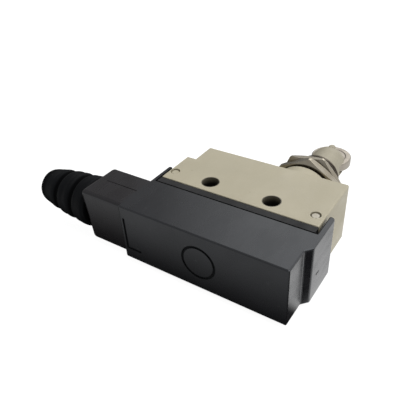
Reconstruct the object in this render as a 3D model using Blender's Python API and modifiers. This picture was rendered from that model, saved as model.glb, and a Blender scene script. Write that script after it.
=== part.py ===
"""Enclosed limit switch with a panel-mount roller plunger, laid on its side.

Frame: +X runs along the body to the end opposite the cable boot, +Y is the way
the plunger points, +Z is the thickness of the body and the axis of the two
mounting holes.  The origin lies on the lower side face, midway between the holes.
All lengths below are millimetres; MM turns them into metres.
"""
import math

import bmesh
import bpy
from mathutils import Matrix, Vector

MM = 0.001

# ---- driving sizes -------------------------------------------------------
FIT_GAP = 0.3            # clearance left between neighbouring pieces
RUN_GAP = 0.3            # running clearance of moving pieces
THICK = 23.8             # thickness of the body, side face to side face
SKIN = 0.1               # how far the cover and gasket stay inside the side faces
MID_Z = THICK / 2.0

HOLE_PITCH = 25.4        # mounting hole spacing
HOLE_R = 3.24            # mounting hole radius
POST_WALL = 1.66         # metal round each mounting hole inside the case

LEFT_WALL = 6.3          # case end walls beside the switch chamber
RIGHT_WALL = 6.0
ROOF_THICK = 3.8         # case above the switch chamber
CASE_BOTTOM = -5.6
CASE_TOP = 22.3
STEP_IN = 3.8            # how far the left side is set in above the step
STEP_Y = 11.8            # height of the step in the left side
CASE_WALL = 3.0
CASE_EDGE = 0.45         # rounding of the case edges

HEAD_X = 13.2            # plunger axis along the body
BOSS_LEDGE = 2.5         # boss radius beyond the bush thread
BOSS_RISE = 4.5          # boss height above the case top
BOSS_ROOT = 2.3          # how far the boss runs into the case
BOSS_EDGE = 0.5
CUT_PAST = 1.0           # how far a cutter runs past the face it opens

GASKET_THICK = 2.8
COVER_DEPTH = 19.8       # terminal cover, joint face to bottom face
COVER_OVER_LEFT = 2.3    # cover block beyond the case ends
COVER_OVER_RIGHT = 0.75
COVER_WALL = 2.5
COVER_EDGE = 0.5
LIP_RISE = 10.9          # end lips above the joint face
LIP_THICK = 2.1
LIP_PLAY = 0.8           # room between a lip and the case
LIP_DROP = 7.0           # outer step of the right lip below the joint face
LIP_SLOPE = 2.4          # length of the slope under the right lip

NECK_LENGTH = 19.5       # square neck that carries the boot
NECK_DROP = 0.4          # neck face above the cover bottom face, at the upper side face
NECK_LEAN = 1.5          # how far that face leans in towards the lower side face
NECK_HIGH = 19.2         # neck height along Y
NECK_EDGE = 1.6
NECK_INTO = 6.0          # how far the neck block runs into the cover block
NECK_LINE = 0.3          # width and depth of the parting line on the neck
NECK_LINE_UP = 0.7       # parting line above the cable axis
NECK_LINE_START = 4.5    # parting line starts this far from the end of the neck
STUB_OUT = 3.0           # stub of the cover block inside the neck
CABLE_DROP = 0.1         # cable axis below the middle of the neck
RING_OUTER = 6.9         # round groove in the cover's bottom face
RING_INNER = 5.9
RING_X = 0.3
GROOVE_DEEP = 0.5        # depth of the moulded grooves in the bottom face
GROOVE_IN = 1.75         # angled groove, in from the cover's left face
GROOVE_WIDE = 1.0
GROOVE_LONG = 6.3        # its short arm
GROOVE_LOW_IN = 4.7      # groove ends, in from the two side faces
GROOVE_HIGH_IN = 5.2
SPIGOT_R = 7.0
SPIGOT_LENGTH = 6.9
SPIGOT_WALL = 1.6
BOOT_STEP = 2.8          # boot bore for the cable, smaller than the spigot by this
# outside of the boot: (radius beyond the spigot's, distance from its root), three ribs and two grooves
BOOT_SHAPE = (
    (2.2, 0.0), (2.5, 0.4), (2.5, 1.2), (3.3, 2.0), (3.35, 2.6), (3.1, 5.2), (2.85, 6.9), (2.15, 7.8),
    (2.0, 8.6), (2.1, 9.5), (2.65, 10.6), (2.4, 13.0), (2.1, 15.9), (1.4, 16.9), (1.15, 17.8), (1.3, 18.7),
    (1.6, 19.8), (1.2, 22.4), (0.65, 25.2), (0.2, 27.0), (-0.5, 28.4), (-1.8, 29.3),
)

BUSH_WALL = 1.6          # wall round the well at the thread
BUSH_STEP = 1.3          # thread radius beyond the plain end inside the boss
BUSH_TOP_RISE = 15.7     # threaded length above the boss
BUSH_BELOW = 6.8         # spigot length inside the boss
NUT_WALL = 2.7           # lock nut bore to its flats
NUT_INNER_THICK = 3.6
NUT_OUTER_THICK = 2.8
NUT_INNER_UP = 1.3       # inner nut above the boss
NUT_INNER_TURN = 3.0     # degrees from a corner pointing up
NUT_OUTER_TURN = 21.0
NUT_CHAMFER = 25.0       # degrees
NUT_FACE_IN = 0.4        # edge of the round face inside the flats

STROKE = 4.5             # full travel of the roller plunger
STEM_R = 5.5
ROD_R = 2.4
FORK_R = 7.3
FORK_SINK = 0.3          # fork shoulder below the bush top at rest
FORK_STRAIGHT = 9.8      # straight length of the fork above its shoulder
FORK_DOME = 7.6          # height of the domed end
ROLLER_R = 8.4
ROLLER_WIDE = 4.0
ROLLER_UP = 14.4         # roller axis above the fork shoulder
PIN_R = 1.45
PIN_HALF = 6.5           # half length of the roller pin
WELL_PLAY = 0.4          # room round the fork in the bush
WELL_SPARE = 0.7         # depth left under the fork at full travel
GUIDE_LONG = 3.8         # length of the bore that guides the stem
SEAL_THICK = 1.9         # room for the seal round the stem
SEAL_GROOVE_UP = 1.2
SEAL_GROOVE_WIDE = 1.6
BUSH_END_WALL = 1.1      # wall round the spring chamber
SEAT_UP = 4.8            # spring seat above the bush end
SEAT_THICK = 1.0
CLIP_R = 4.0
CLIP_THICK = 0.8
CLIP_IN = 0.4            # how far the clip reaches into the rod
RETURN_R = 4.3
RETURN_WIRE = 0.4
RETURN_TURNS = 3.5
OVERTRAVEL_R = 1.9
OVERTRAVEL_WIRE = 0.3
OVERTRAVEL_TURNS = 4.0

SWITCH_LONG = 49.2       # basic switch inside the case
SWITCH_SIDE_PLAY = 0.4   # switch to the case side walls
SWITCH_BASE_TOP = 7.4
SWITCH_BASE_LOW = -11.5
SWITCH_COVER_TOP = 13.3
SWITCH_WALL = 1.5
CHAMBER_SPARE = 1.8      # room between the switch and the right wall
BLADE_Y = 9.2            # middle of the snap blade
BLADE_THICK = 0.4
STRIP = 1.0              # thickness of the terminal risers
BUTTON_R = 1.5
BUTTON_RISE = 0.9        # button above the switch lid at rest
BUTTON_EDGE = 0.2
CAP_R = 2.7
CAP_THICK = 1.1
CAP_TIP_R = 1.0          # tip that centres the overtravel spring
CAP_TIP_HIGH = 1.2
TERMINAL_IN = 2.1        # outer terminal risers, in from the ends of the switch
NO_X = -2.5              # middle riser
CONTACT_IN = 2.0         # contacts, in from the outer riser
CONTACT_R = 1.3
CONTACT_OUT = 0.7        # how far a contact stands off its strip
CONTACT_NECK_R = 0.8
ARM_LOW = 6.3            # lower contact arm
ARM_THICK = 0.6
BLADE_WIDE = 5.0
BLADE_HOLE_R = 1.1
SCREW_SHIFT = 3.6        # terminal screw beside its riser
SCREW_HOLE_R = 1.7
SCREW_R = 1.4
SCREW_HEAD_R = 3.4
PLATE_THICK = 1.1
PLATE_HALF = 4.5
BARRIER_X = 11.0         # ribs between the terminals
BARRIER_DEEP = 4.4
BARRIER_HALF = 0.7

PIN_LEFT_IN = 2.2        # side pins, in from the case ends
PIN_RIGHT_IN = 3.4
SIDE_PIN_R = 1.6
SIDE_PIN_IN = 0.35       # pin ends below the side faces

# ---- sizes that follow ---------------------------------------------------
CAVITY_LEFT = -SWITCH_LONG / 2.0 - FIT_GAP
CAVITY_RIGHT = SWITCH_LONG / 2.0 + CHAMBER_SPARE
CASE_LEFT = CAVITY_LEFT - LEFT_WALL
CASE_RIGHT = CAVITY_RIGHT + RIGHT_WALL
STEP_X = CASE_LEFT + STEP_IN
CHAMBER_TOP = CASE_TOP - ROOF_THICK
SWITCH_WIDE = THICK - 2.0 * (CASE_WALL + SWITCH_SIDE_PLAY)
COVER_LEFT = CASE_LEFT - COVER_OVER_LEFT
COVER_RIGHT = CASE_RIGHT + COVER_OVER_RIGHT
WELL_R = FORK_R + WELL_PLAY
BUSH_R = WELL_R + BUSH_WALL
BUSH_SPIGOT_R = BUSH_R - BUSH_STEP
BOSS_R = BUSH_R + BOSS_LEDGE
NUT_FLATS = 2.0 * (BUSH_R + FIT_GAP + NUT_WALL)
SPRING_ROOM_R = BUSH_SPIGOT_R - BUSH_END_WALL
SEAL_GROOVE_R = STEM_R + SEAL_THICK
COM_X = TERMINAL_IN - SWITCH_LONG / 2.0
NC_X = SWITCH_LONG / 2.0 - TERMINAL_IN
CONTACT_X = NC_X - CONTACT_IN
BOSS_TOP = CASE_TOP + BOSS_RISE
POST_R = HOLE_R + POST_WALL
JOINT_Y = CASE_BOTTOM - FIT_GAP - GASKET_THICK - FIT_GAP - 0.1
COVER_BOTTOM = JOINT_Y - COVER_DEPTH
BUSH_TOP = BOSS_TOP + BUSH_TOP_RISE
BUSH_LOW = BOSS_TOP - BUSH_BELOW
FORK_LOW = BUSH_TOP - FORK_SINK
DOME_LOW = FORK_LOW + FORK_STRAIGHT
FORK_TOP = DOME_LOW + FORK_DOME
ROLLER_Y = FORK_LOW + ROLLER_UP
NECK_END = COVER_LEFT - NECK_LENGTH
NECK_LOW = COVER_BOTTOM + NECK_DROP
CABLE_Y = NECK_LOW + NECK_HIGH / 2.0 - CABLE_DROP
SPIGOT_END = NECK_END - SPIGOT_LENGTH

PART = bpy.data.collections.new("limit_switch")
CUTS = bpy.data.collections.new("cutters")


def clear_scene():
    for old in list(bpy.data.objects):
        bpy.data.objects.remove(old, do_unlink=True)
    bpy.context.scene.collection.children.link(PART)
    bpy.context.scene.collection.children.link(CUTS)


def material(name, colour, rough, metal=0.0):
    mat = bpy.data.materials.new(name)
    mat.use_nodes = True
    shader = mat.node_tree.nodes["Principled BSDF"]
    shader.inputs["Base Color"].default_value = (*colour, 1.0)
    shader.inputs["Roughness"].default_value = rough
    shader.inputs["Metallic"].default_value = metal
    mat.diffuse_color = (*colour, 1.0)
    return mat


def finish(obj, mat, cutter=False, smooth=True):
    """Put a piece in its collection, colour it and set its shading."""
    if cutter:
        CUTS.objects.link(obj)
        obj.hide_render = True
        obj.display_type = "WIRE"
        return obj
    PART.objects.link(obj)
    obj.data.materials.clear()
    obj.data.materials.append(mat)
    if smooth and obj.type == "MESH":
        obj.data.shade_smooth()
        obj.data.set_sharp_from_angle(angle=math.radians(32.0))
    return obj


def box(name, low, high, mat=None, cutter=False):
    """Block between two opposite corners given in millimetres."""
    mesh = bpy.data.meshes.new(name)
    bm = bmesh.new()
    bmesh.ops.create_cube(bm, size=1.0)
    size = [(b - a) * MM for a, b in zip(low, high)]
    bmesh.ops.scale(bm, vec=Vector(size), verts=bm.verts)
    bm.to_mesh(mesh)
    bm.free()
    obj = bpy.data.objects.new(name, mesh)
    obj.location = [(a + b) * 0.5 * MM for a, b in zip(low, high)]
    return finish(obj, mat, cutter, smooth=False)


AXIS_TURN = {
    "Z": (0.0, 0.0, 0.0),
    "Y": (-math.pi / 2.0, 0.0, 0.0),
    "X": (0.0, math.pi / 2.0, 0.0),
}


def turned(name, profile, axis, centre, mat=None, cutter=False, steps=40, closed=False):
    """Turned piece: (radius, height) points run down the outer side.

    Heights are measured from centre along the axis.  A closed profile makes a
    ring; an open one starts and ends on the axis.
    """
    mesh = bpy.data.meshes.new(name)
    verts = [(r * MM, 0.0, h * MM) for r, h in profile]
    edges = [(i, i + 1) for i in range(len(verts) - 1)]
    if closed:
        edges.append((len(verts) - 1, 0))
    mesh.from_pydata(verts, edges, [])
    obj = bpy.data.objects.new(name, mesh)
    spin = obj.modifiers.new("turn", "SCREW")
    spin.axis = "Z"
    spin.angle = math.tau
    spin.steps = steps
    spin.render_steps = steps
    spin.use_merge_vertices = True
    spin.merge_threshold = 0.00001
    spin.use_smooth_shade = True
    obj.rotation_euler = AXIS_TURN[axis]
    obj.location = [c * MM for c in centre]
    finish(obj, mat, cutter, smooth=False)
    return obj


def rod(name, radius, low, high, axis, centre, mat=None, cutter=False, steps=32, edge=0.0):
    """Plain cylinder from low to high along the axis, with an optional chamfer."""
    if edge > 0.0:
        side = [(radius - edge, high), (radius, high - edge), (radius, low + edge), (radius - edge, low)]
    else:
        side = [(radius, high), (radius, low)]
    points = [(0.0, high)] + side + [(0.0, low)]
    return turned(name, points, axis, centre, mat, cutter, steps)


def slab(name, loops, low, high, mat=None, cutter=False, edge=0.0):
    """Flat outline in X and Y, extruded from low to high along Z."""
    curve = bpy.data.curves.new(name + "_outline", "CURVE")
    curve.dimensions = "2D"
    curve.fill_mode = "BOTH"
    curve.extrude = (high - low) * 0.5 * MM
    for loop in loops:
        line = curve.splines.new("POLY")
        line.points.add(len(loop) - 1)
        for point, (x, y) in zip(line.points, loop):
            point.co = (x * MM, y * MM, 0.0, 1.0)
        line.use_cyclic_u = True
    holder = bpy.data.objects.new(name + "_outline", curve)
    bpy.context.scene.collection.objects.link(holder)
    graph = bpy.context.evaluated_depsgraph_get()
    mesh = bpy.data.meshes.new_from_object(holder.evaluated_get(graph))
    bpy.data.objects.remove(holder, do_unlink=True)
    bm = bmesh.new()
    bm.from_mesh(mesh)
    bmesh.ops.remove_doubles(bm, verts=bm.verts, dist=0.000001)
    bmesh.ops.recalc_face_normals(bm, faces=bm.faces)
    bm.to_mesh(mesh)
    bm.free()
    mesh.name = name
    obj = bpy.data.objects.new(name, mesh)
    obj.location = (0.0, 0.0, (low + high) * 0.5 * MM)
    finish(obj, mat, cutter)
    if edge > 0.0:
        round_edges(obj, edge)
    return obj


def round_edges(obj, width, segments=2):
    mod = obj.modifiers.new("edge", "BEVEL")
    mod.width = width * MM
    mod.segments = segments
    mod.limit_method = "ANGLE"
    mod.angle_limit = math.radians(40.0)


def combine(obj, others, how="DIFFERENCE"):
    for other in others:
        mod = obj.modifiers.new(how.lower(), "BOOLEAN")
        mod.operation = how
        mod.solver = "EXACT"
        mod.object = other


def arc(cx, cy, radius, start, end, count):
    """Points on an arc, angles in degrees."""
    out = []
    for i in range(count + 1):
        a = math.radians(start + (end - start) * i / count)
        out.append((cx + radius * math.cos(a), cy + radius * math.sin(a)))
    return out


def coil(name, radius, wire, low, high, turns, centre, mat):
    """Compression spring along Y, one closed wire."""
    per_turn = 14
    count = int(turns * per_turn)
    curve = bpy.data.curves.new(name, "CURVE")
    curve.dimensions = "3D"
    curve.bevel_depth = wire * MM
    curve.bevel_resolution = 2
    curve.use_fill_caps = True
    line = curve.splines.new("POLY")
    line.points.add(count)
    for i, point in enumerate(line.points):
        a = math.tau * i / per_turn
        y = low + wire + (high - low - 2.0 * wire) * i / count
        point.co = (radius * math.cos(a) * MM, y * MM, radius * math.sin(a) * MM, 1.0)
    obj = bpy.data.objects.new(name, curve)
    obj.location = [c * MM for c in centre]
    PART.objects.link(obj)
    curve.materials.append(mat)
    return obj


clear_scene()

BEIGE = material("case_paint", (0.50, 0.46, 0.35), 0.55)
STEEL = material("plated_steel", (0.62, 0.60, 0.56), 0.35, 1.0)
SPRING = material("spring_wire", (0.55, 0.55, 0.56), 0.30, 1.0)
BRASS = material("brass", (0.72, 0.55, 0.25), 0.32, 1.0)
COPPER = material("copper_strip", (0.70, 0.42, 0.27), 0.35, 1.0)
BLACK = material("cover_plastic", (0.045, 0.045, 0.05), 0.42)
RUBBER = material("black_rubber", (0.03, 0.03, 0.032), 0.70)
PHENOLIC = material("switch_body", (0.10, 0.045, 0.03), 0.45)
RED = material("button_plastic", (0.45, 0.04, 0.03), 0.40)
NYLON = material("gasket_rubber", (0.05, 0.05, 0.055), 0.60)

# ---- case ----------------------------------------------------------------
case_outline = [
    (CASE_RIGHT, CASE_BOTTOM),
    (CASE_RIGHT, CASE_TOP),
    (STEP_X, CASE_TOP),
    (STEP_X, STEP_Y),
    (CASE_LEFT, STEP_Y),
    (CASE_LEFT, CASE_BOTTOM),
]
case = slab("switch_case", [case_outline], 0.0, THICK, BEIGE, edge=CASE_EDGE)
head = (HEAD_X, 0.0, MID_Z)
boss = turned(
    "boss_solid",
    [(0.0, BOSS_TOP), (BOSS_R - BOSS_EDGE, BOSS_TOP), (BOSS_R, BOSS_TOP - BOSS_EDGE),
     (BOSS_R, CASE_TOP - BOSS_ROOT), (0.0, CASE_TOP - BOSS_ROOT)],
    "Y", head, cutter=True, steps=48)
room = box(
    "case_room", (CAVITY_LEFT, CASE_BOTTOM - CUT_PAST, CASE_WALL),
    (CAVITY_RIGHT, CHAMBER_TOP, THICK - CASE_WALL), cutter=True)
hole_x = HOLE_PITCH / 2.0
HOLES = (("left", -hole_x), ("right", hole_x))
PINS = (("left", CASE_LEFT + PIN_LEFT_IN), ("right", CASE_RIGHT - PIN_RIGHT_IN))
for side, sx in HOLES:
    post = rod("post_" + side, POST_R, 0.0, THICK, "Z", (sx, 0.0, 0.0), cutter=True)
    combine(room, [post])
bores = []
bore_radius = BUSH_SPIGOT_R + FIT_GAP
bores.append(rod("boss_bore", bore_radius, CHAMBER_TOP - 2.0 * CUT_PAST, BOSS_TOP + CUT_PAST, "Y", head,
                 cutter=True, steps=40))
for side, sx in HOLES:
    bores.append(rod("mount_hole_" + side, HOLE_R, -CUT_PAST, THICK + CUT_PAST, "Z", (sx, 0.0, 0.0),
                     cutter=True))
for side, sx in PINS:
    bores.append(rod("pin_hole_" + side, SIDE_PIN_R + FIT_GAP, -CUT_PAST, THICK + CUT_PAST, "Z",
                     (sx, 0.0, 0.0), cutter=True, steps=20))
combine(case, [boss], "UNION")
combine(case, [room] + bores)

for side, sx in PINS:
    rod("side_pin_" + side, SIDE_PIN_R, SIDE_PIN_IN, THICK - SIDE_PIN_IN, "Z", (sx, 0.0, 0.0), STEEL,
        steps=20, edge=0.3)

# ---- head: bush, nuts, fork, roller --------------------------------------
guide_r = STEM_R + RUN_GAP
well_low = FORK_LOW - STROKE - WELL_SPARE
guide_low = well_low - GUIDE_LONG
groove_low = guide_low + SEAL_GROOVE_UP
groove_high = groove_low + SEAL_GROOVE_WIDE
shoulder = BOSS_TOP + FIT_GAP
turned(
    "threaded_bush",
    [
        (BUSH_R - 0.5, BUSH_TOP), (BUSH_R, BUSH_TOP - 0.5), (BUSH_R, shoulder), (BUSH_SPIGOT_R, shoulder),
        (BUSH_SPIGOT_R, BUSH_LOW), (SPRING_ROOM_R, BUSH_LOW), (SPRING_ROOM_R, guide_low),
        (guide_r, guide_low), (guide_r, groove_low), (SEAL_GROOVE_R, groove_low),
        (SEAL_GROOVE_R, groove_high), (guide_r, groove_high),
        (guide_r, well_low), (WELL_R, well_low), (WELL_R, BUSH_TOP),
    ],
    "Y", head, STEEL, steps=40, closed=True)

ring_mid = (STEM_R + SEAL_GROOVE_R) / 2.0
ring_r = (SEAL_GROOVE_R - STEM_R) / 2.0 - FIT_GAP
seal_profile = arc(ring_mid, (groove_low + groove_high) / 2.0, ring_r, 90.0, -225.0, 7)
turned("plunger_seal", seal_profile, "Y", head, RUBBER, steps=32, closed=True)


def lock_nut(name, low, thick, turn):
    """Hexagon nut with both faces chamfered, bored clear of the thread."""
    high = low + thick
    corner = NUT_FLATS / math.sqrt(3.0)
    mesh = bpy.data.meshes.new(name)
    bm = bmesh.new()
    bmesh.ops.create_cone(
        bm, cap_ends=True, segments=6, radius1=corner * MM, radius2=corner * MM, depth=thick * MM)
    # corners start on the piece's own X; the turn is counted from the upright corner
    for angle, axis in ((math.pi / 2.0, "X"), (math.radians(turn), "Y")):
        bmesh.ops.rotate(bm, verts=bm.verts, cent=(0.0, 0.0, 0.0), matrix=Matrix.Rotation(angle, 3, axis))
    bm.to_mesh(mesh)
    bm.free()
    nut = bpy.data.objects.new(name, mesh)
    nut.location = (HEAD_X * MM, (low + high) * 0.5 * MM, MID_Z * MM)
    finish(nut, STEEL)
    face_r = NUT_FLATS / 2.0 - NUT_FACE_IN
    drop = (corner - face_r) * math.tan(math.radians(NUT_CHAMFER))
    form = turned(
        name + "_form",
        [(0.0, high), (face_r, high), (corner, high - drop), (corner, low + drop), (face_r, low),
         (0.0, low)],
        "Y", head, cutter=True, steps=48)
    bore = rod(name + "_bore", BUSH_R + FIT_GAP, low - CUT_PAST, high + CUT_PAST, "Y", head,
               cutter=True, steps=40)
    combine(nut, [form], "INTERSECT")
    combine(nut, [bore])
    return nut


inner_low = BOSS_TOP + NUT_INNER_UP
outer_low = inner_low + NUT_INNER_THICK + FIT_GAP
lock_nut("lock_nut_inner", inner_low, NUT_INNER_THICK, NUT_INNER_TURN)
lock_nut("lock_nut_outer", outer_low, NUT_OUTER_THICK, NUT_OUTER_TURN)

seat_low = BUSH_LOW + SEAT_UP
seat_high = seat_low + SEAT_THICK
stem_low = guide_low + 1.0
clip_high = seat_low - 0.6
clip_low = clip_high - CLIP_THICK
clip_groove_r = ROD_R - CLIP_IN - FIT_GAP
rod_low = clip_low - 0.8

# outside of the fork from its crown down: radius, and height above the origin
fork_line = [(FORK_R * x, DOME_LOW + FORK_DOME * y) for x, y in arc(0.0, 0.0, 1.0, 90.0, 0.0, 8)] + [
    (FORK_R, FORK_LOW), (STEM_R, FORK_LOW), (STEM_R, stem_low), (ROD_R, stem_low),
    (ROD_R, clip_high + 0.2), (clip_groove_r, clip_high + 0.2),
    (clip_groove_r, clip_low - 0.2), (ROD_R, clip_low - 0.2),
    (ROD_R, rod_low), (0.0, rod_low),
]
roller_axis = (HEAD_X, ROLLER_Y, MID_Z)
fork = turned(
    "roller_plunger", [(r, y - ROLLER_Y) for r, y in fork_line], "Y", roller_axis, STEEL, steps=40)
slot_half = ROLLER_WIDE / 2.0 + RUN_GAP
slot_low = ROLLER_Y - ROLLER_R - 2.0 * RUN_GAP
reach = FORK_R + CUT_PAST
fork_cuts = [
    box("fork_slot", (HEAD_X - reach, slot_low, MID_Z - slot_half),
        (HEAD_X + reach, FORK_TOP + CUT_PAST, MID_Z + slot_half), cutter=True),
    rod("fork_pin_hole", PIN_R + FIT_GAP, -reach, reach, "Z", roller_axis, cutter=True, steps=28),
]
combine(fork, fork_cuts)

half = ROLLER_WIDE / 2.0
roller_profile = [
    (ROLLER_R - 0.45, half), (ROLLER_R - 0.08, half - 0.4), (ROLLER_R, 0.0), (ROLLER_R - 0.08, 0.4 - half),
    (ROLLER_R - 0.45, -half), (PIN_R + RUN_GAP, -half), (PIN_R + RUN_GAP, half),
]
turned("roller", roller_profile, "Z", roller_axis, STEEL, steps=48, closed=True)
rod("roller_pin", PIN_R, -PIN_HALF, PIN_HALF, "Z", roller_axis, SPRING, steps=28, edge=0.3)

turned(
    "spring_seat",
    [(SPRING_ROOM_R - FIT_GAP, seat_high), (SPRING_ROOM_R - FIT_GAP, seat_low), (ROD_R + 0.4, seat_low),
     (ROD_R + 0.4, seat_high)],
    "Y", head, STEEL, steps=28, closed=True)
turned(
    "plunger_clip",
    [(CLIP_R, clip_high), (CLIP_R, clip_low), (ROD_R - CLIP_IN, clip_low), (ROD_R - CLIP_IN, clip_high)],
    "Y", head, SPRING, steps=24, closed=True)
coil("return_spring", RETURN_R, RETURN_WIRE, seat_high + FIT_GAP, stem_low - FIT_GAP, RETURN_TURNS,
     head, SPRING)

# ---- basic switch --------------------------------------------------------
wide_low = MID_Z - SWITCH_WIDE / 2.0
wide_high = MID_Z + SWITCH_WIDE / 2.0
half_long = SWITCH_LONG / 2.0
cover_low = SWITCH_BASE_TOP + FIT_GAP
strip_low = MID_Z - 1.5
strip_high = MID_Z + 1.5
recess_low = ARM_LOW - 0.4
blade_low = BLADE_Y - BLADE_THICK / 2.0
blade_high = BLADE_Y + BLADE_THICK / 2.0
no_top = ARM_LOW + ARM_THICK + CONTACT_OUT
nc_low = blade_high + CONTACT_OUT + FIT_GAP
nc_arm_low = nc_low + 0.5
nc_arm_high = nc_arm_low + ARM_THICK

base = box("switch_base", (-half_long, SWITCH_BASE_LOW, wide_low), (half_long, SWITCH_BASE_TOP, wide_high),
           PHENOLIC)
ribs = []
for side, rx in (("left", -BARRIER_X), ("right", BARRIER_X)):
    ribs.append(box("barrier_" + side, (rx - BARRIER_HALF, SWITCH_BASE_LOW - BARRIER_DEEP, wide_low),
                    (rx + BARRIER_HALF, SWITCH_BASE_LOW + 1.0, wide_high), cutter=True))
combine(base, ribs, "UNION")
base_cuts = []
for side, sx in HOLES:
    base_cuts.append(rod("base_post_" + side, POST_R + FIT_GAP, -CUT_PAST, THICK + CUT_PAST, "Z",
                         (sx, 0.0, 0.0), cutter=True))
plate_high = SWITCH_BASE_LOW - FIT_GAP
plate_low = plate_high - PLATE_THICK
terminals = (("com", COM_X, 1.0), ("no", NO_X, 1.0), ("nc", NC_X, -1.0))
for name, rx, way in terminals:
    base_cuts.append(box(
        "slot_" + name, (rx - STRIP / 2.0 - FIT_GAP, SWITCH_BASE_LOW - CUT_PAST, strip_low - FIT_GAP),
        (rx + STRIP / 2.0 + FIT_GAP, SWITCH_BASE_TOP + CUT_PAST, strip_high + FIT_GAP), cutter=True))
    base_cuts.append(rod(
        "screw_well_" + name, SCREW_HOLE_R, SWITCH_BASE_LOW - CUT_PAST, SWITCH_BASE_LOW + 4.6, "Y",
        (rx + way * SCREW_SHIFT, 0.0, MID_Z), cutter=True, steps=24))
base_cuts.append(box(
    "arm_recess", (NO_X - 1.2, recess_low, strip_low - 0.4),
    (CONTACT_X + 1.6, SWITCH_BASE_TOP + CUT_PAST, strip_high + 0.4), cutter=True))
combine(base, base_cuts)

lid = box(
    "switch_lid", (-half_long, cover_low, wide_low), (half_long, SWITCH_COVER_TOP, wide_high), PHENOLIC)
lid_room = box(
    "lid_room", (-half_long + 1.2, cover_low - CUT_PAST, wide_low + 2.0),
    (half_long - 1.2, SWITCH_COVER_TOP - SWITCH_WALL, wide_high - 2.0), cutter=True)
lid_hole = rod("lid_hole", BUTTON_R + RUN_GAP, SWITCH_COVER_TOP - 3.0, SWITCH_COVER_TOP + CUT_PAST,
               "Y", head, cutter=True, steps=28)
combine(lid, [lid_room, lid_hole])

button_low = blade_high + FIT_GAP
button_high = SWITCH_COVER_TOP + BUTTON_RISE
rod("switch_button", BUTTON_R, button_low, button_high, "Y", head, RED, steps=28, edge=BUTTON_EDGE)
cap_low = button_high + FIT_GAP
cap_high = cap_low + CAP_THICK
turned(
    "button_cap",
    [(0.0, cap_high + CAP_TIP_HIGH), (CAP_TIP_R, cap_high + CAP_TIP_HIGH), (CAP_TIP_R, cap_high),
     (CAP_R, cap_high), (CAP_R, cap_low), (0.0, cap_low)],
    "Y", head, BRASS, steps=24)
coil("overtravel_spring", OVERTRAVEL_R, OVERTRAVEL_WIRE, cap_high + FIT_GAP, rod_low - FIT_GAP,
     OVERTRAVEL_TURNS, head, SPRING)

blade = box(
    "snap_blade", (COM_X + 0.2, blade_low, MID_Z - BLADE_WIDE / 2.0),
    (CONTACT_X + 1.2, blade_high, MID_Z + BLADE_WIDE / 2.0), COPPER)
blade_hole = rod("blade_hole", BLADE_HOLE_R, blade_low - CUT_PAST, blade_high + CUT_PAST, "Y",
                 (CONTACT_X, 0.0, MID_Z), cutter=True, steps=24)
combine(blade, [blade_hole])
turned(
    "moving_contact",
    [
        (0.0, blade_high + CONTACT_OUT), (CONTACT_R, blade_high + CONTACT_OUT),
        (CONTACT_R, blade_high + FIT_GAP), (CONTACT_NECK_R, blade_high + FIT_GAP),
        (CONTACT_NECK_R, blade_low - FIT_GAP), (CONTACT_R, blade_low - FIT_GAP),
        (CONTACT_R, blade_low - CONTACT_OUT), (0.0, blade_low - CONTACT_OUT),
    ],
    "Y", (CONTACT_X, 0.0, MID_Z), STEEL, steps=24)


def terminal(name, riser_x, way, riser_top, arm=None, contact=None):
    """Screw plate under the base with a riser, and an arm carrying a contact."""
    far = riser_x - way * (STRIP / 2.0 + 0.4)
    near = riser_x + way * (SCREW_SHIFT + SCREW_HEAD_R)
    low_x = min(far, near)
    high_x = max(far, near)
    plate = box(
        name, (low_x, plate_low, MID_Z - PLATE_HALF), (high_x, plate_high, MID_Z + PLATE_HALF), BRASS)
    parts = [box(name + "_riser", (riser_x - STRIP / 2.0, plate_low + 0.2, strip_low),
                 (riser_x + STRIP / 2.0, riser_top, strip_high), cutter=True)]
    if arm:
        parts.append(box(name + "_arm", (arm[0], arm[1], strip_low + 0.2),
                         (arm[2], arm[3], strip_high - 0.2), cutter=True))
    if contact:
        parts.append(rod(name + "_contact", CONTACT_R, contact[0], contact[1], "Y", (CONTACT_X, 0.0, MID_Z),
                         cutter=True, steps=24))
    combine(plate, parts, "UNION")
    hole = rod(name + "_hole", SCREW_HOLE_R, plate_low - CUT_PAST, plate_high + CUT_PAST, "Y",
               (riser_x + way * SCREW_SHIFT, 0.0, MID_Z), cutter=True, steps=24)
    combine(plate, [hole])


terminal("terminal_com", COM_X, 1.0, blade_low - FIT_GAP - 0.1)
terminal("terminal_no", NO_X, 1.0, ARM_LOW + ARM_THICK / 2.0,
         (NO_X - STRIP / 2.0, ARM_LOW, CONTACT_X + 1.3, ARM_LOW + ARM_THICK),
         (ARM_LOW + 0.1, no_top))
terminal("terminal_nc", NC_X, -1.0, nc_arm_low + ARM_THICK / 2.0,
         (CONTACT_X - 1.6, nc_arm_low, NC_X + STRIP / 2.0, nc_arm_high),
         (nc_low, nc_arm_high - 0.1))

head_high = plate_low - FIT_GAP
head_low = head_high - 2.4
screw_tip = SWITCH_BASE_LOW + 4.0
for name, rx, way in terminals:
    screw_x = rx + way * SCREW_SHIFT
    screw = turned(
        "terminal_screw_" + name,
        [
            (0.0, screw_tip), (SCREW_R - 0.3, screw_tip), (SCREW_R, screw_tip - 0.3),
            (SCREW_R, head_high), (SCREW_HEAD_R, head_high), (SCREW_HEAD_R, head_high - 0.7),
            (SCREW_HEAD_R - 0.5, head_high - 0.7), (SCREW_HEAD_R - 0.6, head_low + 0.5),
            (SCREW_HEAD_R - 1.1, head_low), (0.0, head_low),
        ],
        "Y", (screw_x, 0.0, MID_Z), STEEL, steps=24)
    driver_slot = box(
        "slot_screw_" + name, (screw_x - 0.45, head_low - CUT_PAST, MID_Z - 4.0),
        (screw_x + 0.45, head_low + 1.1, MID_Z + 4.0), cutter=True)
    combine(screw, [driver_slot])

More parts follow.
